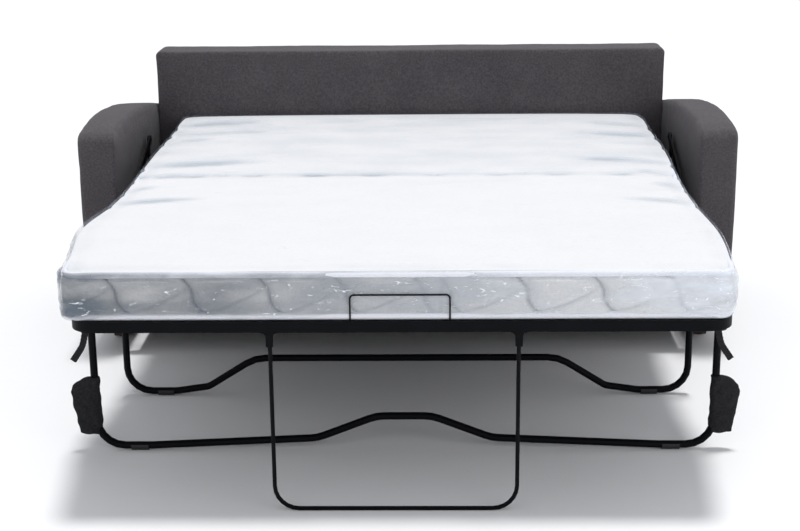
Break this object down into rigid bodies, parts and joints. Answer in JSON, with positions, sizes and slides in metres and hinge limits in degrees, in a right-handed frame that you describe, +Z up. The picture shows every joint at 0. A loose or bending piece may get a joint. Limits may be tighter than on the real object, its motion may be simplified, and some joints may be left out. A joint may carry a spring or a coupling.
{
  "type": "sleeper sofa",
  "caption": "Low-armed sleeper sofa with its pull-out bed open: sprung-cloth steel frame on folding U legs, hinged sections and a queen mattress that folds down into the sofa.",
  "frame": {"origin": "on the floor under the middle of the open sofa bed's box", "axes": "+X to the right along the seat as seen from the foot of the bed, +Y from the foot of the bed to the back of the sofa, +Z up"},
  "size_m": [1.91, 1.965, 0.815],
  "materials": {
    "charcoal_upholstery": "woven charcoal polyester, slightly napped, no sheen",
    "black_frame_paint": "black powder-coated steel tube and bar, satin",
    "zinc_steel": "zinc-plated rivets and pins",
    "mattress_ticking": "white damask ticking, quilted border, under clear film",
    "deck_cloth": "dark woven polypropylene",
    "black_webbing": "black webbing and wrapped cloth",
    "black_plastic": "moulded nylon glides, black",
    "dark_wood": "dark stained hardwood feet"
  },
  "bodies": {
    "sofa_body": {"left_arm": "charcoal_upholstery", "right_arm": "charcoal_upholstery", "backrest": "charcoal_upholstery", "front_rail": "charcoal_upholstery", "dust_cover": "deck_cloth", "front_left_foot": "dark_wood", "front_right_foot": "dark_wood", "rear_left_foot": "dark_wood", "rear_right_foot": "dark_wood", "side_plate_left": "black_frame_paint", "side_plate_right": "black_frame_paint"},
    "lift_arms": {"lift_arm_left": "black_frame_paint", "lift_arm_right": "black_frame_paint"},
    "lift_links": {"lift_link_left": "black_frame_paint", "lift_link_right": "black_frame_paint"},
    "seat_section": {"seat_frame": "black_frame_paint", "seat_deck": "deck_cloth", "mattress_seat": "mattress_ticking", "head_hinge_pin_left": "zinc_steel", "head_hinge_pin_right": "zinc_steel", "middle_hinge_pin_left": "zinc_steel", "middle_hinge_pin_right": "zinc_steel", "rear_leg_pin_left": "zinc_steel", "rear_leg_pin_right": "zinc_steel", "mattress_head_crease": "mattress_ticking", "mattress_middle_crease": "mattress_ticking"},
    "head_section": {"head_frame": "black_frame_paint", "head_deck": "deck_cloth", "mattress_head": "mattress_ticking"},
    "middle_section": {"middle_frame": "black_frame_paint", "middle_deck": "deck_cloth", "mattress_middle": "mattress_ticking", "foot_hinge_pin_left": "zinc_steel", "foot_hinge_pin_right": "zinc_steel", "middle_leg_pin_left": "zinc_steel", "middle_leg_pin_right": "zinc_steel", "mattress_foot_crease": "mattress_ticking"},
    "foot_section": {"foot_frame": "black_frame_paint", "foot_deck": "deck_cloth", "mattress_foot": "mattress_ticking", "leg_bracket_left": "black_frame_paint", "leg_bracket_right": "black_frame_paint", "retainer_bar": "black_frame_paint", "corner_strap_left": "black_webbing", "corner_strap_right": "black_webbing"},
    "rear_leg": {"rear_leg": "black_frame_paint", "rear_leg_glide_left": "black_plastic", "rear_leg_glide_right": "black_plastic"},
    "middle_leg": {"middle_leg": "black_frame_paint", "middle_leg_glide_left": "black_plastic", "middle_leg_glide_right": "black_plastic", "leg_guard_left": "black_webbing", "leg_guard_right": "black_webbing"},
    "front_leg": {"front_leg": "black_frame_paint"}
  },
  "joints": [
    {"name": "bed_fold", "type": "hinge", "parent": "sofa_body", "child": "lift_arms", "pos_m": [0, 0.5235, 0.3131], "axis": [1, 0, 0], "range_deg": [0, 154.52]},
    {"name": "lift_elbow", "type": "hinge", "parent": "lift_arms", "child": "lift_links", "pos_m": [0, 0.5632, 0.5747], "axis": [1, 0, 0], "range_deg": [-342.87, 0]},
    {"name": "seat_lift_pivot", "type": "hinge", "parent": "lift_links", "child": "seat_section", "pos_m": [0, 0.2298, 0.452], "axis": [1, 0, 0], "range_deg": [0, 188.35]},
    {"name": "head_fold", "type": "hinge", "parent": "seat_section", "child": "head_section", "pos_m": [0, 0.3175, 0.452], "axis": [1, 0, 0], "range_deg": [0, 90], "deforming": ["mattress_head_crease"]},
    {"name": "middle_fold", "type": "hinge", "parent": "seat_section", "child": "middle_section", "pos_m": [0, -0.2825, 0.452], "axis": [1, 0, 0], "range_deg": [-90, 0], "deforming": ["mattress_middle_crease"]},
    {"name": "foot_fold", "type": "hinge", "parent": "middle_section", "child": "foot_section", "pos_m": [0, -0.5445, 0.452], "axis": [1, 0, 0], "range_deg": [-90, 0], "deforming": ["mattress_foot_crease"]},
    {"name": "rear_leg_fold", "type": "hinge", "parent": "seat_section", "child": "rear_leg", "pos_m": [0, -0.2185, 0.408], "axis": [1, 0, 0], "range_deg": [0, 90]},
    {"name": "middle_leg_fold", "type": "hinge", "parent": "middle_section", "child": "middle_leg", "pos_m": [0, -0.6075, 0.408], "axis": [1, 0, 0], "range_deg": [-180, 0]},
    {"name": "front_leg_fold", "type": "hinge", "parent": "foot_section", "child": "front_leg", "pos_m": [0, -0.9655, 0.427], "axis": [1, 0, 0], "range_deg": [0, 90]}
  ],
  "couplings": [
    {"joint": "lift_elbow", "follows": "bed_fold", "ratio": -2.219},
    {"joint": "seat_lift_pivot", "follows": "bed_fold", "ratio": 1.219},
    {"joint": "head_fold", "follows": "bed_fold", "ratio": 0.58246},
    {"joint": "middle_fold", "follows": "bed_fold", "ratio": -0.58246},
    {"joint": "foot_fold", "follows": "bed_fold", "ratio": -0.58246},
    {"joint": "rear_leg_fold", "follows": "bed_fold", "ratio": 0.58246},
    {"joint": "middle_leg_fold", "follows": "bed_fold", "ratio": -1.1649}
  ]
}
